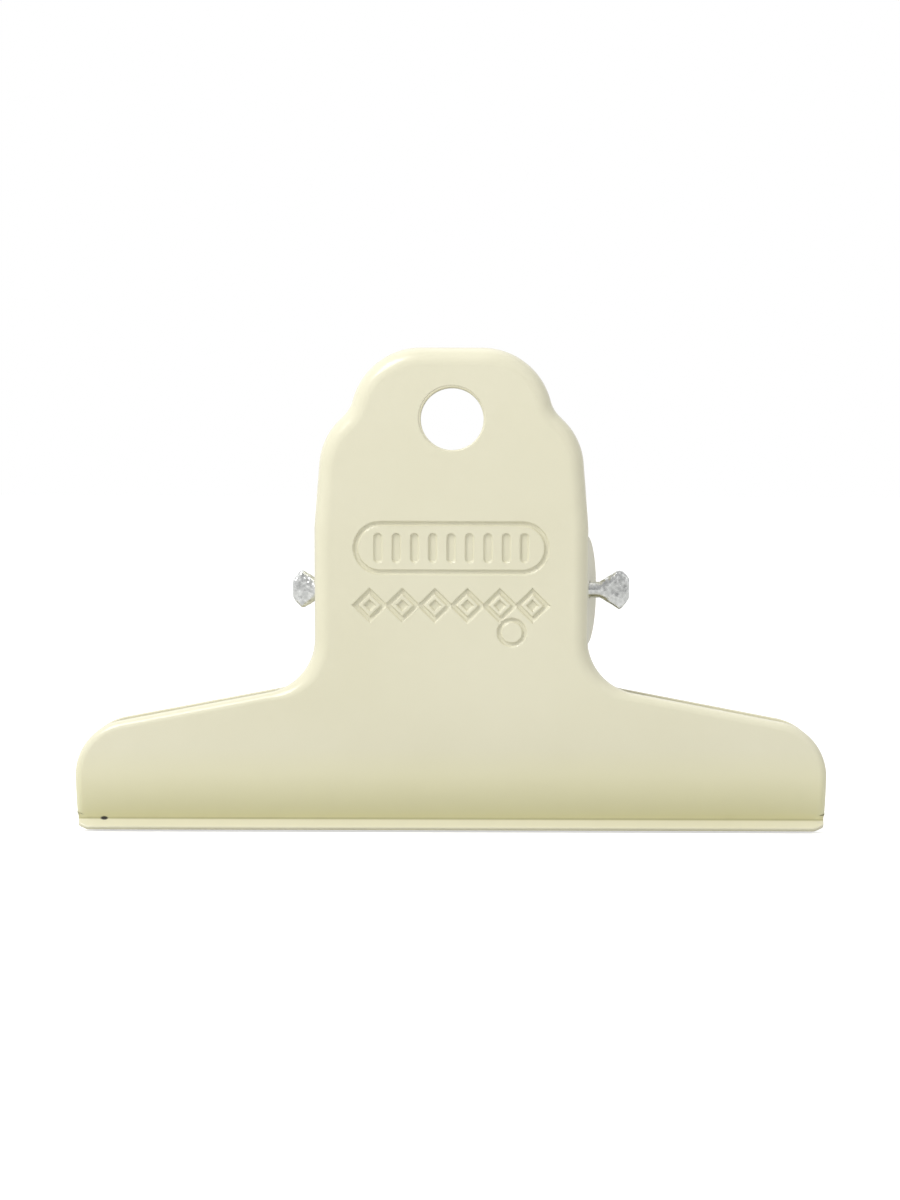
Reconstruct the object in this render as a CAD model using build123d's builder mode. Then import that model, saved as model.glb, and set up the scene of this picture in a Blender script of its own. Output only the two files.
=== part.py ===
"""Wide spring clip for paper: two pressed sheet-steel halves on a pin, held shut by a torsion spring.

Frame: X runs along the mouth, the front half is on the -Y side, and +Z points up to the handles.
The origin is under the middle of the mouth, level with the lips' lowest edge. Sizes are in millimetres.
"""
from build123d import *
from math import acos, atan2, cos, radians, sin, sqrt, tan
import os

os.makedirs("parts", exist_ok=True)

# Overall sizes
jaw_width = 105.0
clip_height = 67.5
sheet = 0.7
pivot_height = 33.9

# The back half's handle is narrower on each side, so that its ears sit inside the front half's ears
back_nest = 1.0

# Side profile of one half: how far each stretch leans from the vertical, in degrees
handle_tilt = 10.0
belly_tilt = 14.0
nip_tilt = 43.0
lip_flare = 50.0
upper_belly_radius = 176.0
lower_belly_radius = 14.7
crease_radius = 0.4
nip_gap = 0.05
lip_length = 1.25
nip_height = (crease_radius + sheet) * sin(radians(lip_flare)) + lip_length * cos(radians(lip_flare))

# Front outline of one half
crown_half_width = 7.42
head_half_width = 12.74
head_height = 63.53
neck_half_width = 13.93
neck_height = 59.07
shoulder_half_width = 17.94
shoulder_height = 55.06
handle_half_width = 18.95
handle_top_height = 43.0
armpit_height = 20.9
wing_tip_height = 14.4
head_radius = 9.6
neck_radius = 4.4
shoulder_radius = 9.2
handle_top_radius = 20.0
armpit_radius = 7.8
wing_tip_radius = 8.0

# Edges turned back all round the sheet
edge_radius = 2.1
handle_flange = 3.0
wing_flange = 1.7
fade_top = 27.0
fade_bottom = 17.0

# Clipped corners of the lip
lip_half_width = 52.2
lip_clip_width = 1.9
lip_clip_height = 1.0

# Hanging hole
hang_radius = 4.5
hang_height = 57.8

# Ears that carry the pin
ear_radius = 7.7
ear_setback = 2.6
ear_root = 1.4

# The front half's right ear is sprung outwards from a bend line near its root
ear_spring = 11.5
ear_bend = 2.5

# Pivot pin with its crushed ends
pin_radius = 1.125
pin_clearance = 0.05
pin_left_neck = -19.05
pin_right_neck = 20.75
left_crush = 3.2
right_crush = 4.2
# How far along the crushed end, half thickness, half height
crush_stations = [
    (0.0, pin_radius, pin_radius),
    (0.4, 0.62, 2.0),
    (0.7, 0.45, 2.75),
    (1.0, 0.36, 1.7),
]

# Torsion spring
wire_radius = 0.85
coil_radius = 3.4
coil_turns = 11
coil_pitch = 1.66
leg_rest_height = 46.0
leg_top_height = 56.0
leg_bend_radius = 4.0
leg_gap = 0.05

# Pressed badge on the front handle
badge_height = 39.9
badge_width = 27.0
badge_depth = 0.3
badge_line = 0.5
frame_height = 7.4
bar_count = 9
diamond_count = 6
diamond_drop = 8.1
ring_drop = 11.9
ring_side = 8.4
ring_radius = 1.95
diamond_size = 2.2

far_side = 20.0
above = 3.0


def inward(tilt):
    """Direction into the sheet, in (Y, Z), where its outer face leans by tilt degrees."""
    return Vector(cos(radians(tilt)), sin(radians(tilt)))


def down(tilt):
    """Direction down the outer face, in (Y, Z), where it leans by tilt degrees."""
    return Vector(sin(radians(tilt)), -cos(radians(tilt)))


# Key points of the outer face, in (Y, Z), worked out from the crease upwards
crease_centre = Vector(-nip_gap - sheet - crease_radius, nip_height)
belly_foot = crease_centre + inward(nip_tilt) * crease_radius
lower_centre = belly_foot + inward(nip_tilt) * lower_belly_radius
belly_middle = lower_centre - inward(belly_tilt) * lower_belly_radius
upper_centre = belly_middle + inward(belly_tilt) * upper_belly_radius
belly_top = upper_centre - inward(handle_tilt) * upper_belly_radius


def handle_y(height, depth=0.0):
    """Y of the handle's flat face at a height, moved into the sheet by depth."""
    surface = belly_top.X - (height - belly_top.Y) * tan(radians(handle_tilt))
    return surface + depth / cos(radians(handle_tilt))


def handle_plane(x, height):
    """The plane of the handle's outer face, with its origin at a place on the face."""
    return Plane(
        origin=(x, handle_y(height), height),
        x_dir=(1, 0, 0),
        z_dir=(0, -cos(radians(handle_tilt)), -sin(radians(handle_tilt))),
    )


def face_y(height, depth=0.0):
    """Y of the handle or belly at a height, moved into the sheet by depth."""
    if height >= belly_top.Y:
        return handle_y(height, depth)
    upper = height >= belly_middle.Y
    centre = upper_centre if upper else lower_centre
    radius = (upper_belly_radius if upper else lower_belly_radius) - depth
    return centre.X - sqrt(radius**2 - (height - centre.Y) ** 2)


def handle_and_belly(depth):
    """Draw the side profile at a depth, from above the handle to the crease, and return its ends."""
    top = clip_height + above
    handle = Line((handle_y(top, depth), top), belly_top + inward(handle_tilt) * depth)
    upper = JernArc(handle @ 1, down(handle_tilt), upper_belly_radius - depth, belly_tilt - handle_tilt)
    lower = JernArc(upper @ 1, down(belly_tilt), lower_belly_radius - depth, nip_tilt - belly_tilt)
    return handle @ 0, lower @ 1


def crease_and_lip(depth):
    """Draw the crease and the lip at a depth, and return the ends."""
    start = crease_centre + inward(nip_tilt) * (crease_radius + depth)
    crease = JernArc(start, down(nip_tilt), crease_radius + depth, -nip_tilt - lip_flare)
    lip = Line(crease @ 1, crease @ 1 + down(-lip_flare) * lip_length)
    return start, lip @ 1


def band(profile, near, far):
    """The side sketch between a profile drawn at two depths."""
    with BuildSketch(Plane.YZ) as side:
        with BuildLine():
            near_start, near_end = profile(near)
            far_start, far_end = profile(far)
            Line(near_start, far_start)
            Line(near_end, far_end)
        make_face()
    return side.sketch


def front_outline(inset, nest):
    """The front sketch of one half, moved in by inset, with its handle narrower on each side by nest."""
    foot = -far_side
    half = [
        (jaw_width / 2, foot, 0),
        (jaw_width / 2, wing_tip_height, wing_tip_radius),
        (handle_half_width - nest, armpit_height, armpit_radius),
        (handle_half_width - nest, handle_top_height, handle_top_radius),
        (shoulder_half_width - nest, shoulder_height, shoulder_radius),
        (neck_half_width - nest, neck_height, neck_radius),
        (head_half_width - nest, head_height, head_radius),
        (crown_half_width - nest, clip_height, head_radius),
    ]
    corners = half + [(-x, z, radius) for x, z, radius in reversed(half)]
    with BuildSketch(Plane.XZ) as front:
        with BuildLine():
            FilletPolyline(
                [(x, z) for x, z, _ in corners],
                radius=[radius for _, _, radius in corners],
                close=True,
            )
        make_face()
        if inset > 0:
            offset(amount=-inset)
    return front.sketch


def on_rim(edge, depth):
    """Whether an edge of a block runs round the rim of the face at this depth."""
    middle = edge @ 0.5
    crosswise = abs((edge % 0.5).X) > 0.99 and abs(middle.X) < 1
    if middle.Z < nip_height + sheet or (crosswise and middle.Z < armpit_height):
        return False
    return abs(middle.Y - face_y(middle.Z, depth)) < 0.01


def pressed_block(depth, thickness, rim_radius, nest):
    """A solid block behind the face at a depth, with its rim rounded over."""
    with BuildPart() as block:
        extrude(front_outline(depth, nest), amount=far_side, dir=(0, -1, 0))
        side = band(handle_and_belly, depth, depth + thickness)
        extrude(side, amount=jaw_width, dir=(1, 0, 0), both=True, mode=Mode.INTERSECT)
        fillet(block.edges().filter_by(lambda edge: on_rim(edge, depth)), radius=rim_radius)
    return block.part


def ear(side, edge, spring):
    """A tab bent back at one edge of the handle, and sprung outwards by an angle beyond its bend line."""
    low = pivot_height - ear_radius
    high = pivot_height + ear_radius
    reach = ear_radius - ear_setback
    splay = (reach + ear_bend) * tan(radians(spring))
    skew = sheet * tan(radians(spring) / 2)
    with BuildPart() as tab:
        with BuildSketch(Plane.YZ):
            with BuildLine():
                root = Polyline(
                    (-ear_setback, high),
                    (handle_y(high, handle_flange) + ear_root, high),
                    (handle_y(high, handle_flange), high + ear_root),
                    (handle_y(high, edge_radius), high + ear_root),
                    (handle_y(low, edge_radius), low - ear_root),
                    (handle_y(low, handle_flange), low - ear_root),
                    (handle_y(low, handle_flange) + ear_root, low),
                    (-ear_setback, low),
                )
                ThreePointArc(root @ 1, (reach, pivot_height), root @ 0)
            make_face()
        extrude(amount=jaw_width, both=True)
        with BuildSketch():
            with BuildLine():
                Polyline(
                    (side * edge, -far_side),
                    (side * edge, -ear_bend),
                    (side * (edge + splay), reach),
                    (side * (edge + splay - sheet / cos(radians(spring))), reach),
                    (side * (edge - sheet), -ear_bend + skew),
                    (side * (edge - sheet), -far_side),
                    close=True,
                )
            make_face()
        extrude(amount=clip_height, mode=Mode.INTERSECT)
    return tab.part


def half(nest, right_spring):
    """One half, as it looks from the front, with its middle at X = 0."""
    outside = pressed_block(0, handle_flange, edge_radius, nest)
    hollow = pressed_block(sheet, 2 * handle_flange, edge_radius - sheet, nest)
    with BuildPart() as whole:
        add(outside)
        add(hollow, mode=Mode.SUBTRACT)

        # Trim the turned edge: deep on the handle, shallow on the wings, and clear of the other half
        with BuildSketch(Plane.YZ):
            with BuildLine():
                Polyline(
                    (handle_y(clip_height + above, handle_flange), clip_height + above),
                    (handle_y(fade_top, handle_flange), fade_top),
                    (handle_y(fade_bottom, wing_flange), fade_bottom),
                    (-nip_gap, nip_height + sheet),
                    (-nip_gap, -far_side),
                    (far_side, -far_side),
                    (far_side, clip_height + above),
                    close=True,
                )
            make_face()
        extrude(amount=jaw_width, both=True, mode=Mode.SUBTRACT)

        # Crease and flared lip, with clipped corners
        extrude(band(crease_and_lip, 0, sheet), amount=lip_half_width, dir=(1, 0, 0), both=True)
        for side in (-1, 1):
            with BuildSketch(Plane.XZ):
                with BuildLine():
                    Polyline(
                        (side * (lip_half_width - lip_clip_width), -above),
                        (side * (lip_half_width - lip_clip_width), 0),
                        (side * lip_half_width, lip_clip_height),
                        (side * jaw_width, lip_clip_height),
                        (side * jaw_width, -above),
                        close=True,
                    )
                make_face()
            extrude(amount=far_side, both=True, mode=Mode.SUBTRACT)

        # Hanging hole, square to the handle
        with BuildSketch(handle_plane(0, hang_height)):
            Circle(hang_radius)
        extrude(amount=above, both=True, mode=Mode.SUBTRACT)

        # Ears, with the pin's bore through both
        add(ear(-1, handle_half_width - nest, 0))
        add(ear(1, handle_half_width - nest, right_spring))
        with BuildSketch(Plane.YZ):
            with Locations((0, pivot_height)):
                Circle(pin_radius + pin_clearance)
        extrude(amount=jaw_width, both=True, mode=Mode.SUBTRACT)
    return whole.part


with BuildPart() as front_plate:
    add(half(0, ear_spring))

    # Badge pressed into the handle: a slot frame with bars, a row of diamonds and a small ring
    with BuildSketch(handle_plane(0, badge_height)):
        SlotOverall(badge_width, frame_height)
        SlotOverall(badge_width - 2 * badge_line, frame_height - 2 * badge_line, mode=Mode.SUBTRACT)
        with GridLocations(badge_width * 0.75 / (bar_count - 1), 1, bar_count, 1):
            SlotOverall(frame_height * 0.55, badge_line * 1.4, rotation=90)
        with Locations((0, -diamond_drop)):
            with GridLocations(badge_width / diamond_count, 1, diamond_count, 1):
                RegularPolygon(diamond_size, 4)
                RegularPolygon(diamond_size - 1.4 * badge_line, 4, mode=Mode.SUBTRACT)
        with Locations((ring_side, -ring_drop)):
            Circle(ring_radius)
            Circle(ring_radius - badge_line, mode=Mode.SUBTRACT)
    extrude(amount=-badge_depth, mode=Mode.SUBTRACT)


with BuildPart() as back_plate:
    with Locations(Location((0, 0, 0), (0, 0, 180))):
        add(half(back_nest, 0))


with BuildPart() as pivot_pin:
    with BuildSketch(Plane.YZ.offset(pin_left_neck)):
        with Locations((0, pivot_height)):
            Circle(pin_radius)
    extrude(amount=pin_right_neck - pin_left_neck)

    # Each end is crushed flat, first spreading upwards and downwards, then narrowing to its tip
    for neck, crush in ((pin_left_neck, -left_crush), (pin_right_neck, right_crush)):
        for reach, half_thickness, half_height in crush_stations:
            with BuildSketch(Plane.YZ.offset(neck + crush * reach)):
                with Locations((0, pivot_height)):
                    Ellipse(half_thickness, half_height)
        loft()


def leg_line(height):
    """Y of the front leg's centre where it lies against the handle's inner face."""
    return handle_y(height, sheet + leg_gap + wire_radius)


# The front leg leaves the coil at a tangent and runs up to lie along the front handle's inner face
rest = Vector(leg_line(leg_rest_height), leg_rest_height - pivot_height)
leave_angle = atan2(rest.Y, rest.X) + acos(coil_radius / rest.length)
leave = (coil_radius * cos(leave_angle), pivot_height + coil_radius * sin(leave_angle))

with BuildPart() as spring_leg:
    with BuildLine(Plane.YZ.offset(-coil_pitch * (coil_turns - 1) / 2)) as leg:
        FilletPolyline(
            leave,
            (leg_line(leg_rest_height), leg_rest_height),
            (leg_line(leg_top_height), leg_top_height),
            radius=leg_bend_radius,
        )
    with BuildSketch(leg.line ^ 0):
        Circle(wire_radius)
    sweep()

# Close-wound coil round the pin, with the same leg turned round at its other end
with BuildPart() as torsion_spring:
    with BuildSketch(Plane.XZ):
        with Locations((0, pivot_height + coil_radius)):
            with GridLocations(coil_pitch, 1, coil_turns, 1):
                Circle(wire_radius)
    revolve(axis=Axis((0, 0, pivot_height), (1, 0, 0)))
    add(spring_leg.part)
    with Locations(Location((0, 0, 0), (0, 0, 180))):
        add(spring_leg.part)


front_plate.part.label = "front_plate"
back_plate.part.label = "back_plate"
pivot_pin.part.label = "pivot_pin"
torsion_spring.part.label = "torsion_spring"

export_step(front_plate.part, "parts/front_plate.step")
export_step(back_plate.part, "parts/back_plate.step")
export_step(pivot_pin.part, "parts/pivot_pin.step")
export_step(torsion_spring.part, "parts/torsion_spring.step")
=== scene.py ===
"""Spring clip: two enamelled sheet halves, a crushed pin and a coil spring, in a white studio."""
import math

import bpy
import numpy as np
from mathutils import Matrix, Vector, noise
from mathutils.geometry import delaunay_2d_cdt


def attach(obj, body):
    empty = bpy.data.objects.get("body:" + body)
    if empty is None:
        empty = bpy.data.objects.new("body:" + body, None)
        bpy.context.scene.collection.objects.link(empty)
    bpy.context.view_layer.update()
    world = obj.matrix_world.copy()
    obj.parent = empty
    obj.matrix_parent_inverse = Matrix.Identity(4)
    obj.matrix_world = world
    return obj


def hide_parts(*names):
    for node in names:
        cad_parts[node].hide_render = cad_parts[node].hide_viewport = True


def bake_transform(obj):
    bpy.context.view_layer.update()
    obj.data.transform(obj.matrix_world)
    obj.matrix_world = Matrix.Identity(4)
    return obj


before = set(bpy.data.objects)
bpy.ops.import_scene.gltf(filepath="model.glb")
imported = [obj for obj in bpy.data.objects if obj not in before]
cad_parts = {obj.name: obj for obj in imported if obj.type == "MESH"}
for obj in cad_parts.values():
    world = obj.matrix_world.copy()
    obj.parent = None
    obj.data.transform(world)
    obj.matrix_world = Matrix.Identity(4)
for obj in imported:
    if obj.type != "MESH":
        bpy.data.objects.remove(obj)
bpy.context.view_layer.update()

MM = 0.001
TINY = 1e-6

# The stamping's sizes, in millimetres
BACK_NEST = 1.0
SHEET = 0.7
EDGE_ROUND = 0.22
PIVOT = 33.9
HANDLE_TILT = 10.0
BELLY_TILT = 14.0
NIP_TILT = 43.0
LIP_FLARE = 50.0
UPPER_RADIUS = 176.0
LOWER_RADIUS = 14.7
CREASE_RADIUS = 0.4
NIP_GAP = 0.045
LIP_LENGTH = 1.25
HANDLE_RIM = 2.1
WING_RIM = 1.0
LIP_RIM = 0.3
HALF_HANDLE = 18.95
HANG_HEIGHT = 57.8
HANG_RADIUS = 4.5
EAR_RADIUS = 7.7
EAR_SETBACK = 2.6
EAR_ROOT = 1.0
PIN_HOLE = 1.175
HANDLE_FLANGE = 3.0
WING_FLANGE = 1.7
FADE_TOP = 27.0
FADE_BOTTOM = 17.0
FAR_ABOVE = 80.0

# The front half's right ear is sprung outwards, in degrees, beyond a softly rounded bend line
EAR_SPRING = 11.5
EAR_BEND = 2.5
BEND_SOFTNESS = 0.8

# Right half of the front outline from the lip up: x, z and corner radius
JAW_OUTLINE = [
    (51.00, 0.66, 0.4),
    (52.12, 1.10, 0.2),
    (52.12, 2.00, 0.1),
    (52.50, 2.45, 0.1),
    (52.50, 14.4, 8.0),
]
HANDLE_OUTLINE = [
    (HALF_HANDLE, 20.9, 7.8),
    (HALF_HANDLE, 43.0, 20.0),
    (17.94, 55.06, 9.2),
    (13.93, 59.07, 4.4),
    (12.74, 63.53, 9.6),
    (7.42, 67.5, 9.6),
]


def smooth(low, high, value):
    """0 below low, 1 above high, and a smooth step between."""
    t = np.clip((value - low) / (high - low), 0, 1)
    return t * t * (3 - 2 * t)


def unit(vectors):
    """Vectors of length 1 along the last axis."""
    return vectors / np.linalg.norm(vectors, axis=-1, keepdims=True)


def into(tilt):
    """Direction into the sheet, in (Y, Z), where its outer face leans by tilt degrees."""
    return np.array([math.cos(math.radians(tilt)), math.sin(math.radians(tilt))])


# Side profile of the outer face, from the crease up
NIP_HEIGHT = (CREASE_RADIUS + SHEET) * into(LIP_FLARE)[1] + LIP_LENGTH * into(LIP_FLARE)[0]
CREASE = np.array([-NIP_GAP - SHEET - CREASE_RADIUS, NIP_HEIGHT])
LIP_TOP = CREASE + CREASE_RADIUS * into(-LIP_FLARE)
BELLY_FOOT = CREASE + CREASE_RADIUS * into(NIP_TILT)
LOWER_CENTRE = BELLY_FOOT + LOWER_RADIUS * into(NIP_TILT)
BELLY_MIDDLE = LOWER_CENTRE - LOWER_RADIUS * into(BELLY_TILT)
UPPER_CENTRE = BELLY_MIDDLE + UPPER_RADIUS * into(BELLY_TILT)
BELLY_TOP = UPPER_CENTRE - UPPER_RADIUS * into(HANDLE_TILT)
SLOPE = math.tan(math.radians(HANDLE_TILT))

# Where the ears' roots end, height gained for each millimetre up the handle, and directions round a hole
EAR_LOW = PIVOT - EAR_RADIUS + EDGE_ROUND - EAR_ROOT
EAR_HIGH = PIVOT + EAR_RADIUS - EDGE_ROUND + EAR_ROOT
RISE = into(HANDLE_TILT)[0]
CIRCLE = np.linspace(0, 2 * math.pi, 97)[:-1]


def handle_y(z, depth=0.0):
    """Y of the handle's flat face, moved into the sheet by depth."""
    return BELLY_TOP[0] - (z - BELLY_TOP[1]) * SLOPE + depth / into(HANDLE_TILT)[0]


def face(z):
    """Y of the outer face and its slope dY/dZ at heights z."""
    z = np.asarray(z, float)

    def arc(centre, radius, side):
        across = np.sqrt(np.maximum(radius**2 - (z - centre[1]) ** 2, TINY))
        return centre[0] + side * across, -side * (z - centre[1]) / across

    lip_slope = math.tan(math.radians(LIP_FLARE))
    runs = [
        (handle_y(z), np.full_like(z, -SLOPE)),
        arc(UPPER_CENTRE, UPPER_RADIUS, -1),
        arc(LOWER_CENTRE, LOWER_RADIUS, -1),
        arc(CREASE, CREASE_RADIUS, 1),
        (LIP_TOP[0] + (z - LIP_TOP[1]) * lip_slope, np.full_like(z, lip_slope)),
    ]
    above = [z >= point[1] for point in (BELLY_TOP, BELLY_MIDDLE, BELLY_FOOT, LIP_TOP)]
    return tuple(np.select(above, [run[k] for run in runs[:4]], runs[4][k]) for k in (0, 1))


def flange_end(z):
    """Y where the turned edge stops at heights z: clear of the other half, then shallow, then deep."""
    stops = [
        (NIP_HEIGHT + SHEET, -NIP_GAP),
        (FADE_BOTTOM, handle_y(FADE_BOTTOM, WING_FLANGE)),
        (FADE_TOP, handle_y(FADE_TOP, HANDLE_FLANGE)),
        (FAR_ABOVE, handle_y(FAR_ABOVE, HANDLE_FLANGE)),
    ]
    heights, ends = zip(*stops)
    return np.interp(z, heights, ends) - EDGE_ROUND


def rounded(corners, step):
    """Points and outward normals every step along a closed anticlockwise outline."""
    points, normals = [], []
    last_end = None
    count = len(corners)
    for i in range(count + 1):
        x, z, radius = corners[i % count]
        here = np.array([x, z])
        arrive = unit(here - np.array(corners[i % count - 1][:2]))
        leave = unit(np.array(corners[(i + 1) % count][:2]) - here)
        turn = math.atan2(arrive[0] * leave[1] - arrive[1] * leave[0], arrive @ leave)
        reach = radius * abs(math.tan(turn / 2))
        start = here - arrive * reach
        if last_end is not None:
            length = np.linalg.norm(start - last_end)
            for t in np.arange(0, length, step):
                points.append(last_end + arrive * t)
                normals.append((arrive[1], -arrive[0]))
        if i == count:
            break
        bend = math.copysign(1.0, turn)
        centre = start + bend * radius * np.array([-arrive[1], arrive[0]])
        for t in np.linspace(0, turn, max(2, int(radius * abs(turn) / step))):
            way = np.array(
                [
                    arrive[0] * math.cos(t) - arrive[1] * math.sin(t),
                    arrive[0] * math.sin(t) + arrive[1] * math.cos(t),
                ]
            )
            out = np.array([way[1], -way[0]])
            points.append(centre + bend * radius * out)
            normals.append(out)
        last_end = here + leave * reach
    return np.array(points), np.array(normals)


def inside(points, loop):
    """Which points lie inside a closed loop."""
    found = np.zeros(len(points), bool)
    for (ax, ay), (bx, by) in zip(loop, np.roll(loop, -1, axis=0)):
        if ay == by:
            continue
        crosses = (ay > points[:, 1]) != (by > points[:, 1])
        at = ax + (points[:, 1] - ay) * (bx - ax) / (by - ay)
        found ^= crosses & (points[:, 0] < at)
    return found


# Triangles smaller than this are left out
SLIVER_AREA = 1e-7


def fill(points, border, holes):
    """Anticlockwise triangles over points, inside a border loop and outside hole loops of indices."""
    ties = []
    for loop in [border, *holes]:
        ties += list(zip(loop, loop[1:] + loop[:1]))
    made = delaunay_2d_cdt([Vector(p) for p in points], ties, [], 0, TINY)
    first = [ids[0] if ids else -1 for ids in made[3]]
    faces = np.array([[first[v] for v in corners] for corners in made[2]])
    faces = faces[(faces >= 0).all(axis=1)]
    middles = points[faces].mean(axis=1)
    keep = inside(middles, points[border])
    for loop in holes:
        keep &= ~inside(middles, points[loop])
    faces = faces[keep]
    a, b, c = (points[faces[:, k]] for k in range(3))
    area = (b[:, 0] - a[:, 0]) * (c[:, 1] - a[:, 1]) - (b[:, 1] - a[:, 1]) * (c[:, 0] - a[:, 0])
    sound = np.abs(area) > SLIVER_AREA
    faces, area = faces[sound], area[sound]
    faces[area < 0] = faces[area < 0][:, ::-1]
    return faces.tolist()


def thicken(points, normals, faces):
    """Closes an open skin into a sheet with rounded cut edges."""
    count = len(points)
    directed = {(f[k], f[(k + 1) % len(f)]) for f in faces for k in range(len(f))}
    edge = [(a, b) for a, b in directed if (b, a) not in directed]
    after = dict(edge)
    before = {b: a for a, b in edge}
    rim = sorted(after)
    place = {v: i for i, v in enumerate(rim)}
    tangent = unit(points[[after[v] for v in rim]] - points[[before[v] for v in rim]])
    out_of_sheet = normals[rim]
    away = unit(np.cross(tangent, out_of_sheet))
    quarter_turn = (30, 60, 90)
    edge_steps = [(angle, 1) for angle in quarter_turn] + [(angle, -1) for angle in reversed(quarter_turn)]
    all_points = [points, points - SHEET * normals]
    all_normals = [normals, -normals]
    for angle, facing in edge_steps:
        c, s = into(angle)
        depth = EDGE_ROUND * (1 - c) if facing > 0 else SHEET - EDGE_ROUND * (1 - c)
        all_points.append(points[rim] - depth * out_of_sheet + EDGE_ROUND * s * away)
        all_normals.append(facing * c * out_of_sheet + s * away)
    made = [list(f) for f in faces]
    made += [[v + count for v in reversed(f)] for f in faces]
    rings = [list(rim)]
    for step in range(len(edge_steps)):
        rings.append([2 * count + step * len(rim) + i for i in range(len(rim))])
    rings.append([v + count for v in rim])
    for near, far in zip(rings, rings[1:]):
        made += [[near[place[b]], near[place[a]], far[place[a]], far[place[b]]] for a, b in edge]
    return np.vstack(all_points), unit(np.vstack(all_normals)), made


# Badge: a slot frame with bars, a row of diamonds and a small ring
BADGE_HEIGHT = 39.9
BADGE_WIDTH = 27.0
BADGE_DEPTH = 0.38
LINE = 0.29
FRAME_HEIGHT = 7.4
BARS = 9
DIAMONDS = 6
DIAMOND_DROP = 8.1
DIAMOND = 2.0
RING_SIDE = 8.4
RING_DROP = 11.9
RING_RADIUS = 1.75
WALL = 0.22

# The bars' share of the badge's width, and their size; the diamonds' solid hearts; the ring's half width
BAR_SPAN = 0.75
BAR_REACH = FRAME_HEIGHT * 0.275
BAR_RADIUS = LINE * 1.9
DIAMOND_HEART = 0.85
RING_LINE = LINE * 0.9


def slot_distance(u, v, half_length, radius):
    """Distance outside a slot that lies along u."""
    return np.hypot(np.maximum(np.abs(u) - (half_length - radius), 0), v) - radius


def badge_distance(u, v):
    """Distance outside the badge's pressed lines, on the handle's face about the badge's middle."""
    found = np.abs(slot_distance(u, v, BADGE_WIDTH / 2 - LINE, FRAME_HEIGHT / 2 - LINE)) - LINE
    pitch = BADGE_WIDTH * BAR_SPAN / (BARS - 1)
    for i in range(BARS):
        x = (i - (BARS - 1) / 2) * pitch
        found = np.minimum(found, slot_distance(v, u - x, BAR_REACH, BAR_RADIUS))
    for i in range(DIAMONDS):
        x = (i - (DIAMONDS - 1) / 2) * BADGE_WIDTH / DIAMONDS
        diamond = (np.abs(u - x) + np.abs(v + DIAMOND_DROP) - DIAMOND) / math.sqrt(2)
        found = np.minimum(found, np.abs(diamond) - LINE)
        found = np.minimum(found, diamond + DIAMOND_HEART)
    ring = np.abs(np.hypot(u - RING_SIDE, v + RING_DROP) - RING_RADIUS) - RING_LINE
    return np.minimum(found, ring)


def badge_depth(u, v):
    """How deep the badge is pressed, on the handle's face about the badge's middle."""
    return BADGE_DEPTH * smooth(WALL / 2, -WALL / 2, badge_distance(u, v))


def spring_out(points, normals, half_handle, angle):
    """Bends the right ear outwards by an angle, in degrees, beyond its bend line."""
    beyond = points[:, 1] + EAR_BEND
    in_ear = (points[:, 0] > half_handle - 2 * SHEET) & (np.abs(points[:, 2] - PIVOT) < EAR_RADIUS)
    rounding = np.sqrt(beyond**2 + BEND_SOFTNESS**2)
    lift = (beyond + rounding) / 2 * in_ear
    share = (1 + beyond / rounding) / 2 * in_ear
    turn = share * math.radians(angle)
    bent = points + np.stack([lift * math.tan(math.radians(angle)), 0 * lift, 0 * lift], axis=1)
    x = normals[:, 0] * np.cos(turn) + normals[:, 1] * np.sin(turn)
    y = normals[:, 1] * np.cos(turn) - normals[:, 0] * np.sin(turn)
    return bent, np.stack([x, y, normals[:, 2]], axis=1)


# A pinhole in the enamel at the left end of the crease: x, z, half width and half height
PINHOLE = (-48.7, NIP_HEIGHT, 0.55, 0.28)
PINHOLE_DEPTH = 0.18


def pinhole_distance(x, z):
    """Distance from the pinhole's middle, as a share of its size."""
    return np.hypot((x - PINHOLE[0]) / PINHOLE[2], (z - PINHOLE[1]) / PINHOLE[3])


# Rows of points across the face, from the lip up: heights or counts, and how many end on the outline
LIP_ROWS = [0.9, 1.1]
CREASE_ROWS = 9
LOWER_ROWS = 22
UPPER_ROWS = list(np.arange(9.4, 67.0, 1.2))
TIED_ROWS = 19

# Where a row runs, in millimetres, and the steps along it, which are finer at the bottom
ROW_START = -51.0
ROW_END = 51.1
FINE_BELOW = 2.4
FINE_STEP = 0.4
COARSE_STEP = 1.5

# The outline's first spacing, every which of those points is kept, and how many apart from a tied one
OUTLINE_STEP = 0.02
OUTLINE_KEPT = 24
OUTLINE_CLEAR = 8

# Tied points lie beyond this on the jaw, or this close to the handle's side; others count as far off
JAW_ENDS = 50.0
NEAR_SIDE = 0.1
FAR_OFF = 100

# Gaps kept clear of points beside edges, holes and the pin's bore
CLEAR_OF_EDGE = 0.3
CLEAR_OF_HOLE = 0.35
CLEAR_OF_BORE = 0.4

# The rim: how far each ring of points has bent, and then how far along the flange it lies
RIM_RINGS = [(bend, 0.0) for bend in np.linspace(0, 1, 10)] + [(1.0, part) for part in (0.34, 0.67, 1.0)]

# The wings' tighter rim is full beyond this width; the rim curls in between two heights over the lip
RIM_FADES_AT = 26.0
CURL_LOW = 2.0
CURL_HIGH = 2.8
LEAST_WALL = 0.02

# The finer grids: within the badge's field and close to its lines, and round the pinhole
BADGE_STEP = 0.16
BADGE_U = np.arange(-14.2, 14.2, BADGE_STEP)
BADGE_V = np.arange(-14.6, 4.4, BADGE_STEP)
CLOSE_TO_LINE = 0.42
CLEAR_OF_LINE = 0.6
SLOPE_STEP = 0.01
PINHOLE_X = np.arange(-49.5, -47.9, 0.1)
PINHOLE_Z = np.arange(NIP_HEIGHT - 0.4, NIP_HEIGHT + 0.41, 0.1)

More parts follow.
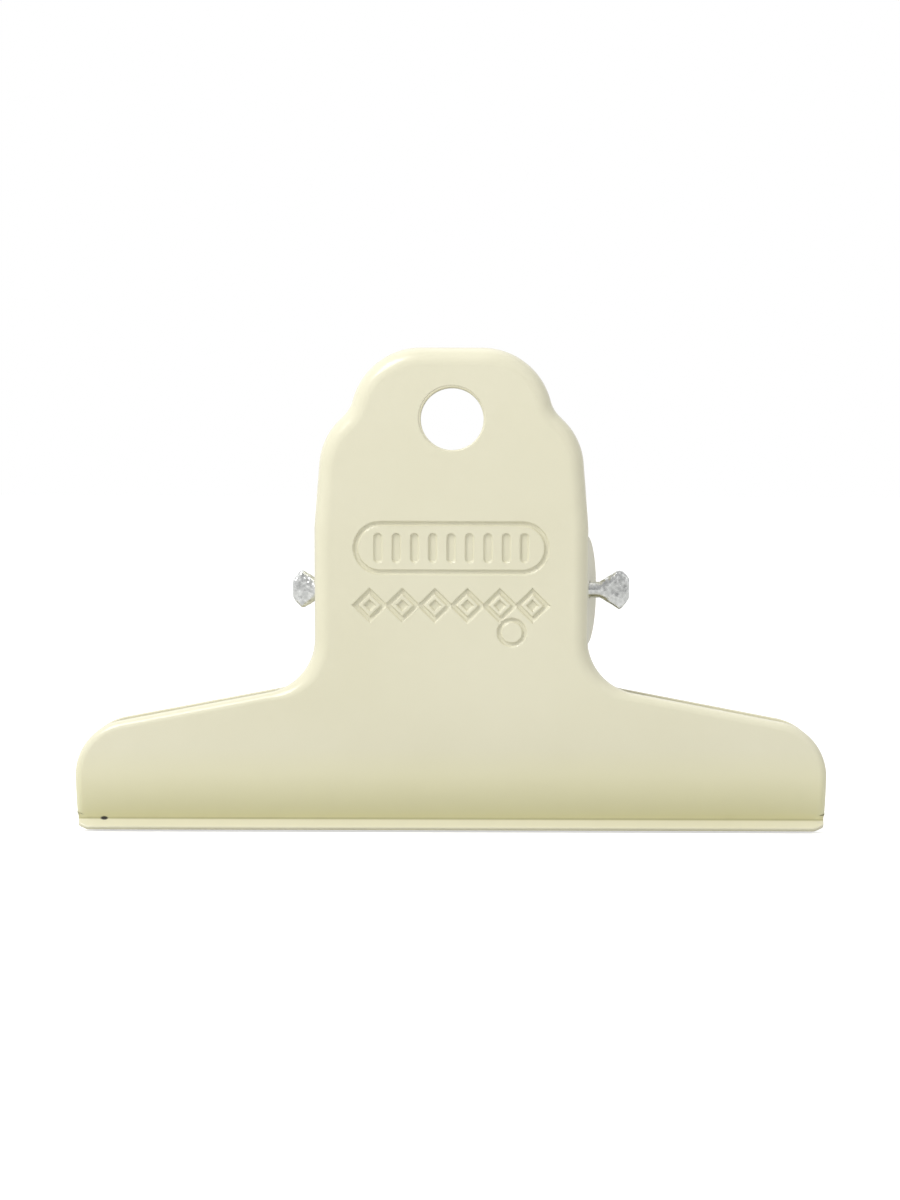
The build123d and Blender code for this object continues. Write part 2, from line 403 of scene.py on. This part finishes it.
# The field that holds the badge: half width, drop of its middle, and half height, where the skin faces front
BADGE_FIELD = (15.0, 5.0, 11.0)
FACING_FRONT = -0.9
PINHOLE_RIM = (1.2, 0.6)

# The ears' inner grid, and how near a rim point must be to their roots, in height and to the side
EAR_Y = np.arange(-8, 6, 0.9)
EAR_Z = np.arange(25.5, 43, 0.9)
ROOT_SLACK = 0.02
SIDE_SLACK = 0.05


def face_rows():
    """Heights of the rows of points across the face, close together where it bends most."""
    tilts = np.linspace(-LIP_FLARE, NIP_TILT, CREASE_ROWS)
    crease = [CREASE[1] + CREASE_RADIUS * into(a)[1] for a in tilts]
    tilts = np.linspace(NIP_TILT, BELLY_TILT, LOWER_ROWS)[1:]
    lower = [LOWER_CENTRE[1] - LOWER_RADIUS * into(a)[1] for a in tilts]
    return LIP_ROWS + crease + lower + UPPER_ROWS


def outline_points(nest):
    """Points and outward normals round the outline, some exactly at the low rows and the ears' roots."""
    right = JAW_OUTLINE + [(x - nest, z, radius) for x, z, radius in HANDLE_OUTLINE]
    left = [(-x, z, radius) for x, z, radius in reversed(right)]
    outline, outward = rounded(right + left, OUTLINE_STEP)
    side_x = np.abs(outline[:, 0])
    levels = [(z, JAW_ENDS) for z in face_rows()[:TIED_ROWS]]
    levels += [(z, HALF_HANDLE - nest - NEAR_SIDE) for z in (EAR_LOW, EAR_HIGH)]
    forced = []
    for z, beyond in levels:
        for side in (-1, 1):
            elsewhere = (side_x < beyond) | (outline[:, 0] * side < 0)
            forced.append(int((np.abs(outline[:, 1] - z) + FAR_OFF * elsewhere).argmin()))
    spread = range(0, len(outline), OUTLINE_KEPT)
    spread = [i for i in spread if min(abs(i - j) for j in forced) > OUTLINE_CLEAR]
    chosen = sorted(set(forced + spread))
    return outline[chosen], outward[chosen]


def rolled_rim(flat, normal, half_handle):
    """Rings of points from the face over a rolling ball to the flange's end, with normals and faces."""
    width = np.abs(flat[:, 0])
    height = flat[:, 1]
    curl = smooth(CURL_LOW, CURL_HIGH, height)[:, None]
    radius = HANDLE_RIM + (WING_RIM - HANDLE_RIM) * smooth(half_handle, RIM_FADES_AT, width)
    middle = flat - normal * radius[:, None]
    y, slope = face(middle[:, 1])
    steep = np.sqrt(1 + slope**2)
    ball = np.stack([middle[:, 0], y + radius * steep, middle[:, 1]], axis=1)
    start = np.stack([np.zeros_like(y), -1 / steep, slope / steep], axis=1)
    end = np.stack([normal[:, 0], np.zeros_like(y), normal[:, 1]], axis=1)
    swing = np.arccos(np.clip((start * end).sum(axis=1), -1, 1))
    wall = np.maximum(flange_end(height) - ball[:, 1], LEAST_WALL)
    points, normals = [], []
    for number, (bend, part) in enumerate(RIM_RINGS):
        lean = start * np.sin((1 - bend) * swing)[:, None] + end * np.sin(bend * swing)[:, None]
        lean = lean / np.sin(swing)[:, None]
        rolled = ball + radius[:, None] * lean
        rolled[:, 1] += wall * part
        inset = flat - normal * LIP_RIM * (1 - number / (len(RIM_RINGS) - 1))
        level, tilt = face(inset[:, 1])
        plain = np.stack([inset[:, 0], level, inset[:, 1]], axis=1)
        upright = unit(np.stack([np.zeros_like(level), -np.ones_like(level), tilt], axis=1))
        points.append(curl * rolled + (1 - curl) * plain)
        normals.append(unit(curl * lean + (1 - curl) * upright))
    count = len(flat)
    faces = []
    for k in range(len(RIM_RINGS) - 1):
        for i in range(count):
            j = (i + 1) % count
            faces.append([k * count + i, (k + 1) * count + i, (k + 1) * count + j, k * count + j])
    return np.vstack(points), np.vstack(normals), faces


def badge_grid(grid):
    """A grid on the face with finer points along the badge's lines and round the pinhole."""
    u, v = (axis.ravel() for axis in np.meshgrid(BADGE_U, BADGE_V))
    near = np.abs(badge_distance(u, v)) < CLOSE_TO_LINE
    fine = np.stack([u[near], BADGE_HEIGHT + v[near] * RISE], axis=1)
    away = badge_distance(grid[:, 0], (grid[:, 1] - BADGE_HEIGHT) / RISE) > CLEAR_OF_LINE
    grid = np.vstack([grid[away], fine])
    x, z = (axis.ravel() for axis in np.meshgrid(PINHOLE_X, PINHOLE_Z))
    return np.vstack([grid[pinhole_distance(grid[:, 0], grid[:, 1]) > 2], np.stack([x, z], axis=1)])


def face_plan(ring, badge):
    """Points on the face, in (X, Z), within a ring: the hanging hole's rim and then the rest."""
    hang = HANG_RADIUS + EDGE_ROUND
    hole_z = HANG_HEIGHT + hang * np.sin(CIRCLE) * RISE
    hole = np.stack([hang * np.cos(CIRCLE), hole_z], axis=1)
    steps = [(z, FINE_STEP if z < FINE_BELOW else COARSE_STEP) for z in face_rows()]
    grid = np.array([(x, z) for z, step in steps for x in np.arange(ROW_START, ROW_END, step)])
    grid = grid[inside(grid, ring)]
    if badge:
        grid = badge_grid(grid)
    from_hole = np.hypot(grid[:, 0], (grid[:, 1] - HANG_HEIGHT) / RISE)
    clear = from_hole > hang + CLEAR_OF_HOLE
    for x, z in ring:
        clear &= (np.abs(grid[:, 0] - x) > CLEAR_OF_EDGE) | (np.abs(grid[:, 1] - z) > CLEAR_OF_EDGE)
    return hole, grid[clear]


def press_badge(points, normals):
    """Points and normals with the badge, and the enamel's pinhole, pressed into them."""
    half_width, drop, half_height = BADGE_FIELD
    u, v = points[:, 0], (points[:, 2] - BADGE_HEIGHT) / RISE
    pressed = (np.abs(u) < half_width) & (np.abs(v + drop) < half_height) & (normals[:, 1] < FACING_FRONT)
    run = 2 * SLOPE_STEP
    along = (badge_depth(u + SLOPE_STEP, v) - badge_depth(u - SLOPE_STEP, v)) / run * pressed
    up = (badge_depth(u, v + SLOPE_STEP) - badge_depth(u, v - SLOPE_STEP)) / run * pressed
    uphill = np.array([0, -into(HANDLE_TILT)[1], RISE])
    points = points - normals * (badge_depth(u, v) * pressed)[:, None]
    normals = unit(normals + along[:, None] * np.array([1.0, 0, 0]) + up[:, None] * uphill)
    dent = PINHOLE_DEPTH * smooth(*PINHOLE_RIM, pinhole_distance(points[:, 0], points[:, 2]))
    return points - normals * (dent * (normals[:, 1] < 0))[:, None], normals


def ear_outline(top_y, foot_y):
    """An ear's outline, in (Y, Z), from the top of its root round its end to the foot of its root."""
    reach = EAR_RADIUS - EDGE_ROUND
    tab = []
    for a in np.linspace(180, 270, 9)[1:]:
        c, s = into(a)
        tab.append((top_y + EAR_ROOT * (1 + c), PIVOT + reach + EAR_ROOT * (1 + s)))
    tab += [(y, PIVOT + reach) for y in np.linspace(tab[-1][0], -EAR_SETBACK, 6)[1:-1]]
    for a in np.linspace(90, -90, 41):
        c, s = into(a)
        tab.append((-EAR_SETBACK + reach * c, PIVOT + reach * s))
    tab += [(y, PIVOT - reach) for y in np.linspace(-EAR_SETBACK, foot_y + EAR_ROOT, 6)[1:]]
    for a in np.linspace(90, 180, 9)[1:-1]:
        c, s = into(a)
        tab.append((foot_y + EAR_ROOT * (1 + c), PIVOT - reach - EAR_ROOT * (1 - s)))
    return tab


def ear_plan(root):
    """Points and triangles of an ear, in (Y, Z). The root's points, from low to high, come first."""
    outline = np.array(root + ear_outline(root[-1][0], root[0][0]))
    bore = PIN_HOLE + EDGE_ROUND
    eye = [(bore * math.cos(a), PIVOT + bore * math.sin(a)) for a in CIRCLE[::2]]
    inner = np.array([(y, z) for y in EAR_Y for z in EAR_Z])
    from_bore = np.hypot(inner[:, 0], inner[:, 1] - PIVOT)
    keep = inside(inner, outline) & (from_bore > bore + CLEAR_OF_BORE)
    for y, z in outline:
        keep &= np.hypot(inner[:, 0] - y, inner[:, 1] - z) > CLEAR_OF_HOLE
    plan = np.vstack([outline, eye, inner[keep]])
    border = list(range(len(outline)))
    return plan, fill(plan, border, [list(range(len(outline), len(outline) + len(eye)))])


def stamping(badge, nest, spring):
    """The skin of one half, as it looks from the front, closed into a sheet."""
    half_handle = HALF_HANDLE - nest
    flat, normal = outline_points(nest)
    points, normals, faces = rolled_rim(flat, normal, half_handle)
    count = len(flat)

    # The face, inside the rim's first ring and round the hanging hole
    hole, grid = face_plan(points[:count][:, [0, 2]], badge)
    plan = np.vstack([points[:count][:, [0, 2]], hole, grid])
    made = fill(plan, list(range(count)), [list(range(count, count + len(hole)))])
    extra = plan[count:]
    y, slope = face(extra[:, 1])
    shift = len(points) - count
    points = np.vstack([points, np.stack([extra[:, 0], y, extra[:, 1]], axis=1)])
    lean = np.stack([np.zeros_like(y), -np.ones_like(y), slope], axis=1)
    normals = np.vstack([normals, unit(lean)])
    faces += [[v if v < count else v + shift for v in f] for f in made]
    if badge:
        points, normals = press_badge(points, normals)

    # The ears, flat tabs that grow out of the rim's last ring
    last = (len(RIM_RINGS) - 1) * count
    at_ear = (flat[:, 1] >= EAR_LOW - ROOT_SLACK) & (flat[:, 1] <= EAR_HIGH + ROOT_SLACK)
    for side in (-1, 1):
        on_side = flat[:, 0] * side > half_handle - SIDE_SLACK
        root = [last + i for i in range(count) if on_side[i] and at_ear[i]]
        root.sort(key=lambda v: points[v, 2])
        plan, made = ear_plan([tuple(points[v][1:]) for v in root])
        base = len(points) - len(root)
        fresh = plan[len(root) :]
        side_x = np.full(len(fresh), side * half_handle)
        points = np.vstack([points, np.stack([side_x, fresh[:, 0], fresh[:, 1]], axis=1)])
        normals = np.vstack([normals, np.tile([side, 0.0, 0.0], (len(fresh), 1))])
        for f in made:
            ids = [root[v] if v < len(root) else v + base for v in f]
            faces.append(ids if side > 0 else ids[::-1])
    points, normals, faces = thicken(points, normals, faces)
    return spring_out(points, normals, half_handle, spring) + (faces,)


def mesh_piece(name, points, normals, faces, material):
    """An object from points in millimetres, shaded with the given normals."""
    mesh = bpy.data.meshes.new(name)
    mesh.from_pydata((points * MM).tolist(), [], faces)
    mesh.update()
    mesh.polygons.foreach_set("use_smooth", [True] * len(mesh.polygons))
    if normals is not None:
        mesh.normals_split_custom_set_from_vertices(normals.tolist())
    mesh.materials.append(material)
    piece = bpy.data.objects.new(name, mesh)
    bpy.context.scene.collection.objects.link(piece)
    return piece


def new_material(name):
    """A node material and its shader."""
    material = bpy.data.materials.new(name)
    material.use_nodes = True
    nodes, links = material.node_tree.nodes, material.node_tree.links
    return material, nodes, links, nodes["Principled BSDF"]


def noise_node(nodes, links, place, scale, detail):
    """Noise that stays with the piece."""
    cloud = nodes.new("ShaderNodeTexNoise")
    cloud.inputs["Scale"].default_value = scale
    cloud.inputs["Detail"].default_value = detail
    links.new(place.outputs["Object"], cloud.inputs["Vector"])
    return cloud


def ramp_node(nodes, links, source, stops):
    """A colour ramp with (position, colour) stops, driven by an output."""
    ramp = nodes.new("ShaderNodeValToRGB")
    elements = ramp.color_ramp.elements
    elements[0].position, elements[0].color = stops[0]
    elements[1].position, elements[1].color = stops[-1]
    for position, colour in stops[1:-1]:
        elements.new(position).color = colour
    links.new(source, ramp.inputs["Fac"])
    return ramp


def bump_node(nodes, links, height, strength, distance, shader):
    """A bump on the shader, driven by an output."""
    bump = nodes.new("ShaderNodeBump")
    bump.inputs["Strength"].default_value = strength
    bump.inputs["Distance"].default_value = distance
    links.new(height, bump.inputs["Height"])
    links.new(bump.outputs["Normal"], shader.inputs["Normal"])


# The enamel's colours, where the painted shade on the belly starts, and half the height of the painted dark
# line of shade at the crease
CREAM_LOW = (0.735, 0.705, 0.525, 1)
CREAM_HIGH = (0.760, 0.730, 0.555, 1)
BELLY_SHADE_TOP = 12.0
BELLY_SHADE_COLOUR = (0.76, 0.73, 0.44, 1)
CREASE_SHADE_HALF_HEIGHT = 0.24
CREASE_SHADE_COLOUR = (0.46, 0.43, 0.21, 1)
# Painted shade for the pinhole's hollow, which is also dented a little
PINHOLE_SHADE_COLOUR = (0.02, 0.018, 0.01, 1)
BLACK = (0, 0, 0, 1)
WHITE = (1, 1, 1, 1)

# Every mottled colour runs between these values of its noise
MOTTLE_LOW = 0.35
MOTTLE_HIGH = 0.65

# Orange peel in the enamel, with its depth in metres, and the slow change of tone
TONE_SCALE = 45.0
PEEL_SCALE = 900.0
PEEL_STRENGTH = 0.05
PEEL_DEPTH = 0.0001

# The metals' grain depth in metres, and how far roughness strays below and above its middle
GRAIN_DEPTH = 0.0002
SMOOTHER = 0.08
ROUGHER = 0.12


def pinhole_node(nodes, links, place, base):
    """Painted shade in the pinhole's hollow: a dark spot over a base colour's output."""
    centred = nodes.new("ShaderNodeVectorMath")
    centred.operation = "SUBTRACT"
    centred.inputs[1].default_value = (PINHOLE[0] * MM, 0, PINHOLE[1] * MM)
    scaled = nodes.new("ShaderNodeVectorMath")
    scaled.operation = "MULTIPLY"
    scaled.inputs[1].default_value = (1 / (PINHOLE[2] * MM), 0, 1 / (PINHOLE[3] * MM))
    away = nodes.new("ShaderNodeVectorMath")
    away.operation = "LENGTH"
    spot = nodes.new("ShaderNodeMapRange")
    spot.inputs["From Min"].default_value = 1.1
    spot.inputs["From Max"].default_value = 0.7
    hole_shade = nodes.new("ShaderNodeMix")
    hole_shade.data_type = "RGBA"
    hole_shade.inputs["B"].default_value = PINHOLE_SHADE_COLOUR
    links.new(place.outputs["Object"], centred.inputs[0])
    links.new(centred.outputs["Vector"], scaled.inputs[0])
    links.new(scaled.outputs["Vector"], away.inputs[0])
    links.new(away.outputs["Value"], spot.inputs["Value"])
    links.new(spot.outputs["Result"], hole_shade.inputs["Factor"])
    links.new(base, hole_shade.inputs["A"])
    return hole_shade.outputs["Result"]


def enamel(name, seed, pinhole):
    """Cream enamel: slightly uneven colour, with painted shade on the belly and a painted dark line of shade
    at the crease, orange peel and a glossy coat.
    """
    material, nodes, links, shader = new_material(name)
    place = nodes.new("ShaderNodeTexCoord")
    tone = noise_node(nodes, links, place, TONE_SCALE, 3.0)
    tone.noise_dimensions = "4D"
    tone.inputs["W"].default_value = seed
    cream = [(MOTTLE_LOW, CREAM_LOW), (MOTTLE_HIGH, CREAM_HIGH)]
    plain = ramp_node(nodes, links, tone.outputs["Fac"], cream)

    # Painted shade: the colour turns a deeper yellow down the belly towards the crease, and darkens to a
    # painted line of shade along the crease
    split = nodes.new("ShaderNodeSeparateXYZ")
    share = nodes.new("ShaderNodeMath")
    share.operation = "MULTIPLY"
    share.inputs[1].default_value = 1 / (BELLY_SHADE_TOP * MM)
    links.new(place.outputs["Object"], split.inputs["Vector"])
    links.new(split.outputs["Z"], share.inputs[0])
    below, crease, above = ((CREASE[1] + gap) / BELLY_SHADE_TOP for gap in (-CREASE_SHADE_HALF_HEIGHT, 0, CREASE_SHADE_HALF_HEIGHT))
    amount = [(below, BLACK), (crease, WHITE), (1.0, BLACK)]
    colour = [(below, BELLY_SHADE_COLOUR), (crease, CREASE_SHADE_COLOUR), (above, BELLY_SHADE_COLOUR)]
    painted_shade = nodes.new("ShaderNodeMix")
    painted_shade.data_type = "RGBA"
    shade_amount = ramp_node(nodes, links, share.outputs["Value"], amount)
    # The painted shade's colours: deeper yellow on the belly, dark at the crease
    depth = ramp_node(nodes, links, share.outputs["Value"], colour)
    links.new(shade_amount.outputs["Color"], painted_shade.inputs["Factor"])
    links.new(plain.outputs["Color"], painted_shade.inputs["A"])
    links.new(depth.outputs["Color"], painted_shade.inputs["B"])

    base = painted_shade.outputs["Result"]
    # The pinhole's hollow gets painted dark shade
    if pinhole:
        base = pinhole_node(nodes, links, place, base)
    links.new(base, shader.inputs["Base Color"])
    peel = noise_node(nodes, links, place, PEEL_SCALE, 2.0)
    bump_node(nodes, links, peel.outputs["Fac"], PEEL_STRENGTH, PEEL_DEPTH, shader)
    shader.inputs["Roughness"].default_value = 0.38
    shader.inputs["Coat Weight"].default_value = 0.5
    shader.inputs["Coat Roughness"].default_value = 0.12
    return material


def metal(name, low, high, roughness, grain, strength):
    """Plated steel with mottled tone and fine grain."""
    material, nodes, links, shader = new_material(name)
    place = nodes.new("ShaderNodeTexCoord")
    tone = noise_node(nodes, links, place, grain, 6.0)
    ramp = ramp_node(nodes, links, tone.outputs["Fac"], [(MOTTLE_LOW, low), (MOTTLE_HIGH, high)])
    spread = nodes.new("ShaderNodeMapRange")
    spread.inputs["To Min"].default_value = roughness - SMOOTHER
    spread.inputs["To Max"].default_value = roughness + ROUGHER
    links.new(tone.outputs["Fac"], spread.inputs["Value"])
    links.new(ramp.outputs["Color"], shader.inputs["Base Color"])
    links.new(spread.outputs["Result"], shader.inputs["Roughness"])
    bump_node(nodes, links, tone.outputs["Fac"], strength, GRAIN_DEPTH, shader)
    shader.inputs["Metallic"].default_value = 1.0
    return material


front_enamel = enamel("front_enamel", 1.0, pinhole=True)
back_enamel = enamel("back_enamel", 7.0, pinhole=False)
zinc = metal("zinc_plate", (0.60, 0.61, 0.60, 1), (0.86, 0.87, 0.86, 1), 0.22, 1900.0, 0.16)
wire_steel = metal("wire_steel", (0.42, 0.42, 0.41, 1), (0.60, 0.60, 0.58, 1), 0.28, 700.0, 0.15)

# The two plates
points, normals, faces = stamping(badge=True, nest=0, spring=EAR_SPRING)
front_shell = mesh_piece("front_shell", points, normals, faces, front_enamel)
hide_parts("front_plate")
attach(front_shell, "front_half")

points, normals, faces = stamping(badge=False, nest=BACK_NEST, spring=0)
half_turn = np.array([-1.0, -1.0, 1.0])
back_shell = mesh_piece("back_shell", points * half_turn, normals * half_turn, faces, back_enamel)
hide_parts("back_plate")
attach(back_shell, "back_half")

# The pin: a rod whose ends are crushed flat. Each station: x, up, down, half thickness, squareness
PIN_RADIUS = 1.125
PIN_STATIONS = [
    (-22.24, 0.95, 0.85, 0.30, 2.6),
    (-22.19, 1.20, 1.15, 0.40, 2.6),
    (-21.95, 1.60, 1.60, 0.50, 2.8),
    (-21.40, 2.35, 2.20, 0.60, 3.0),
    (-20.98, 2.62, 2.62, 0.68, 3.0),
    (-20.60, 2.50, 2.52, 0.75, 2.8),
    (-19.80, 2.05, 2.10, 0.90, 2.4),
    (-19.20, 1.65, 1.70, 1.02, 2.2),
    (-19.05, PIN_RADIUS, PIN_RADIUS, 1.120, 2.0),
    (0.0, PIN_RADIUS, PIN_RADIUS, PIN_RADIUS, 2.0),
    (20.75, PIN_RADIUS, PIN_RADIUS, PIN_RADIUS, 2.0),
    (21.00, 1.30, 1.22, 1.05, 2.2),
    (22.15, 1.98, 1.88, 0.85, 2.6),
    (22.35, 2.12, 2.02, 0.78, 2.8),
    (23.10, 2.58, 2.50, 0.66, 3.0),
    (23.55, 2.74, 2.76, 0.58, 3.0),
    (24.00, 2.62, 2.45, 0.50, 2.8),
    (24.55, 2.10, 1.80, 0.42, 2.6),
    (24.88, 1.65, 1.20, 0.34, 2.6),
    (24.94, 1.30, 0.90, 0.26, 2.6),
]

# Sides of the pin's rings, where the rod ends, and how its length is divided
AROUND = 64
ROD_END = 19.0
ROD_PIECES = 12
CRUSH_STEP = 0.14

# Dints: their depth, their size, how they show across and up, and where they fade in at each end
DINT = 0.07
DINT_SCALE = 1.3
DINT_ACROSS = 1.5
DINT_UP = 0.5
LEFT_FADE = (19.1, 19.9)
RIGHT_FADE = (20.8, 21.5)


def ring_faces(rings, around):
    """Faces of a closed tube made of rings of points."""
    faces = []
    for r in range(rings - 1):
        for i in range(around):
            j = (i + 1) % around
            faces.append([r * around + i, r * around + j, (r + 1) * around + j, (r + 1) * around + i])
    faces.append(list(range(around))[::-1])
    faces.append([(rings - 1) * around + i for i in range(around)])
    return faces


def pin_mesh():
    """Rings of points along the pin, knocked about a little where it is crushed."""
    knots = np.array(PIN_STATIONS)
    xs = []
    for a, b in zip(knots[:-1, 0], knots[1:, 0]):
        crushed = abs(a) > ROD_END and abs(b) > ROD_END
        pieces = max(1, int((b - a) / CRUSH_STEP)) if crushed else ROD_PIECES
        xs += list(np.linspace(a, b, pieces + 1)[:-1])
    xs.append(knots[-1, 0])
    points = []
    for x in xs:
        up, down, thick, power = (np.interp(x, knots[:, 0], knots[:, k]) for k in (1, 2, 3, 4))
        rough = DINT * float(smooth(*(LEFT_FADE if x < 0 else RIGHT_FADE), abs(x)))
        for a in np.arange(AROUND) * 2 * math.pi / AROUND:
            c, s = math.cos(a), math.sin(a)
            y = thick * math.copysign(abs(c) ** (2 / power), c)
            z = (up if s > 0 else down) * math.copysign(abs(s) ** (2 / power), s)
            spot = Vector((x * DINT_SCALE, y * DINT_SCALE, z * DINT_SCALE))
            bump = rough * noise.noise(spot, noise_basis="VORONOI_F1")
            points.append((x, y * (1 - bump * DINT_ACROSS), PIVOT + z * (1 - bump * DINT_UP)))
    return np.array(points), ring_faces(len(xs), AROUND)


pin_points, pin_faces = pin_mesh()
pin = mesh_piece("crushed_pin", pin_points, None, [f[::-1] for f in pin_faces], zinc)
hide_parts("pivot_pin")
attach(pin, "pin")

# The spring: one wire, up the front handle, round the coil and up the back handle
WIRE_RADIUS = 0.85
COIL_RADIUS = 3.4
COIL_TURNS = 10
COIL_PITCH = 1.66
LEG_REST = 46.0
LEG_TOP = 56.0
LEG_GAP = 0.05
LEG_BEND = 2.0
COIL_REACH = COIL_PITCH * COIL_TURNS / 2

# The wire looks a little thinner than its pitch allows, so that the coil's turns show apart
VISIBLE_RADIUS = WIRE_RADIUS * 0.93
WIRE_SIDES = 20

# Points along the straight leg, its bend and its way to the coil, and steps in each turn of the coil
LEG_POINTS = 12
BEND_POINTS = 9
REACH_POINTS = 14
TURN_STEPS = 40


def spring_path():
    """Points along the middle of the spring's wire."""
    def leg_y(z):
        return handle_y(z, SHEET + LEG_GAP + WIRE_RADIUS)

    rest = np.array([leg_y(LEG_REST), LEG_REST - PIVOT])
    leave = math.atan2(rest[1], rest[0]) + math.acos(COIL_RADIUS / np.linalg.norm(rest))
    top = np.array([-COIL_REACH, leg_y(LEG_TOP), LEG_TOP])
    knee = np.array([-COIL_REACH, leg_y(LEG_REST), LEG_REST])
    start = np.array([-COIL_REACH, COIL_RADIUS * math.cos(leave), PIVOT + COIL_RADIUS * math.sin(leave)])
    first = knee + unit(top - knee) * LEG_BEND
    second = knee + unit(start - knee) * LEG_BEND
    leg = [top + (first - top) * t for t in np.linspace(0, 1, LEG_POINTS)]
    for t in np.linspace(0, 1, BEND_POINTS)[1:-1]:
        leg.append(first * (1 - t) ** 2 + 2 * knee * t * (1 - t) + second * t**2)
    leg += [second + (start - second) * t for t in np.linspace(0, 1, REACH_POINTS)[:-1]]
    front = np.array(leg)

    # The back leg is the front one turned half round the upright axis
    sweep = (2 * COIL_TURNS + 3) * math.pi - 2 * leave
    coil = []
    for t in np.linspace(0, 1, TURN_STEPS * COIL_TURNS + 1):
        a = leave + sweep * t
        x = -COIL_REACH + 2 * COIL_REACH * t
        coil.append((x, COIL_RADIUS * math.cos(a), PIVOT + COIL_RADIUS * math.sin(a)))
    back = front[::-1] * np.array([-1, -1, 1])
    return np.vstack([front, coil, back])


def tube(path, radius, around):
    """Rings of points round a path, without twist, with flat ends."""
    ways = unit(np.gradient(path, axis=0))
    side = unit(np.cross(ways[0], np.array([1.0, 0, 0])))
    points = []
    for at, way in zip(path, ways):
        side = unit(side - way * (side @ way))
        other = np.cross(way, side)
        for a in np.arange(around) * 2 * math.pi / around:
            points.append(at + radius * (math.cos(a) * side + math.sin(a) * other))
    return np.array(points), ring_faces(len(path), around)


spring_points, spring_faces = tube(spring_path(), VISIBLE_RADIUS, WIRE_SIDES)
spring = mesh_piece("coil_spring", spring_points, None, spring_faces, wire_steel)
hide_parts("torsion_spring")
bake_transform(spring)

# The floor's glow to the camera, and its size and depth below the part in metres
FLOOR_GLOW = 0.6
FLOOR_REACH = 4.0
FLOOR_DROP = 0.0002

# The surroundings' strength, and how it grows leftwards, backwards and upwards
WORLD_LEVEL = 0.745
WORLD_SLANT = (-0.17, 0.28, 0.02)
WORLD_LEAST = 0.05

# Floor: it glows faintly to the camera, so that it stays white, and only bounces light elsewhere
floor_material, nodes, links, shader = new_material("white_floor")
shader.inputs["Base Color"].default_value = (0.68, 0.68, 0.67, 1)
shader.inputs["Roughness"].default_value = 0.9
shader.inputs["Specular IOR Level"].default_value = 0.0
glow = nodes.new("ShaderNodeLightPath")
strength = nodes.new("ShaderNodeMath")
strength.operation = "MULTIPLY"
strength.inputs[1].default_value = FLOOR_GLOW
shader.inputs["Emission Color"].default_value = (1, 1, 1, 1)
links.new(glow.outputs["Is Camera Ray"], strength.inputs[0])
links.new(strength.outputs["Value"], shader.inputs["Emission Strength"])
floor_corners = [(x * FLOOR_REACH, y * FLOOR_REACH, 0) for x, y in ((-1, -1), (1, -1), (1, 1), (-1, 1))]
floor_mesh = bpy.data.meshes.new("floor")
floor_mesh.from_pydata(floor_corners, [], [(0, 1, 2, 3)])
floor_mesh.materials.append(floor_material)
floor = bpy.data.objects.new("floor", floor_mesh)
floor.location.z = -FLOOR_DROP
bpy.context.scene.collection.objects.link(floor)

# Surroundings: white to the camera, and elsewhere light that falls off to the right and the front
world = bpy.data.worlds.new("studio")
bpy.context.scene.world = world
world.use_nodes = True
nodes, links = world.node_tree.nodes, world.node_tree.links
backdrop = nodes["Background"]
backdrop.inputs["Color"].default_value = (1, 1, 1, 1)
backdrop.inputs["Strength"].default_value = 1.0
soft = nodes.new("ShaderNodeBackground")
soft.inputs["Color"].default_value = (1, 1, 1, 1)
way = nodes.new("ShaderNodeTexCoord")
slant = nodes.new("ShaderNodeVectorMath")
slant.operation = "DOT_PRODUCT"
slant.inputs[1].default_value = WORLD_SLANT
level = nodes.new("ShaderNodeMath")
level.operation = "ADD"
level.inputs[1].default_value = WORLD_LEVEL
held_up = nodes.new("ShaderNodeMath")
held_up.operation = "MAXIMUM"
held_up.inputs[1].default_value = WORLD_LEAST
links.new(way.outputs["Generated"], slant.inputs[0])
links.new(slant.outputs["Value"], level.inputs[0])
links.new(level.outputs["Value"], held_up.inputs[0])
links.new(held_up.outputs["Value"], soft.inputs["Strength"])
seen = nodes.new("ShaderNodeLightPath")
choose = nodes.new("ShaderNodeMixShader")
links.new(seen.outputs["Is Camera Ray"], choose.inputs["Fac"])
links.new(soft.outputs["Background"], choose.inputs[1])
links.new(backdrop.outputs["Background"], choose.inputs[2])
links.new(choose.outputs["Shader"], nodes["World Output"].inputs["Surface"])


def area_light(name, place, aim, size, power):
    """A soft square light."""
    lamp = bpy.data.lights.new(name, "AREA")
    lamp.size = size
    lamp.energy = power
    light = bpy.data.objects.new(name, lamp)
    light.location = place
    light.rotation_euler = (Vector(aim) - Vector(place)).to_track_quat("-Z", "Y").to_euler()
    bpy.context.scene.collection.objects.link(light)


# Lights, placed and sized in metres: name, place, size, power
MIDDLE = (0, 0, 0.035)
LIGHTS = [
    ("key", (-0.45, -0.55, 0.60), 0.45, 5.0),
    ("fill", (0.60, -0.50, 0.30), 0.60, 0.54),
    ("top", (0.0, 0.25, 0.80), 0.60, 0.7),
]
for name, place, size, power in LIGHTS:
    area_light(name, place, MIDDLE, size, power)

# Camera: angles in degrees, distance and target in metres, lens in millimetres
AZIMUTH = 0.2
ELEVATION = 2.05
ROLL = 0.15
DISTANCE = 0.600
LENS = 128.2
TARGET = Vector((-0.0002, 0, 0.0324))
azimuth, elevation = math.radians(AZIMUTH), math.radians(ELEVATION)
back = Vector(
    (
        math.sin(azimuth) * math.cos(elevation),
        -math.cos(azimuth) * math.cos(elevation),
        math.sin(elevation),
    )
)
camera = bpy.data.objects.new("camera", bpy.data.cameras.new("camera"))
camera.data.lens = LENS
camera.data.sensor_width = 36.0
camera.data.clip_start = 0.01
camera.data.clip_end = 50.0
camera.location = TARGET + back * DISTANCE
look = (-back).to_track_quat("-Z", "Y").to_matrix()
camera.rotation_euler = (look @ Matrix.Rotation(math.radians(ROLL), 3, "Z")).to_euler()
bpy.context.scene.collection.objects.link(camera)
bpy.context.scene.camera = camera
bpy.context.scene.view_settings.view_transform = "Standard"
